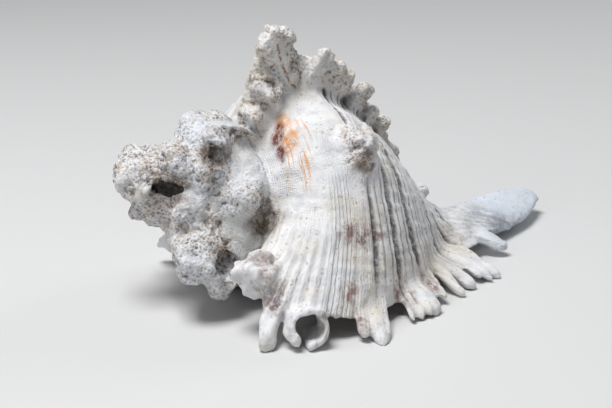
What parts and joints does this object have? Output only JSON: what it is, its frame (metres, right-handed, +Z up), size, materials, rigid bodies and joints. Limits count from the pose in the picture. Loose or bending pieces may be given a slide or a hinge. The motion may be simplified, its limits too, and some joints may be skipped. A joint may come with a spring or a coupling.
{
  "type": "branched murex shell",
  "caption": "Chalky white spiral sea-snail shell with a flared spiny lip, worn ridges and a tapering canal, lying on its lip spines.",
  "frame": {"origin": "centre of the shell's footprint, at the level of the surface that it lies on", "axes": "+Z up; +X towards the canal end and -X towards the spire; -Y towards the outer lip's open spine"},
  "size_m": [0.164, 0.1572, 0.0961],
  "materials": {
    "shell": null
  },
  "bodies": {
    "root": {"shell": "shell"}
  },
  "joints": []
}
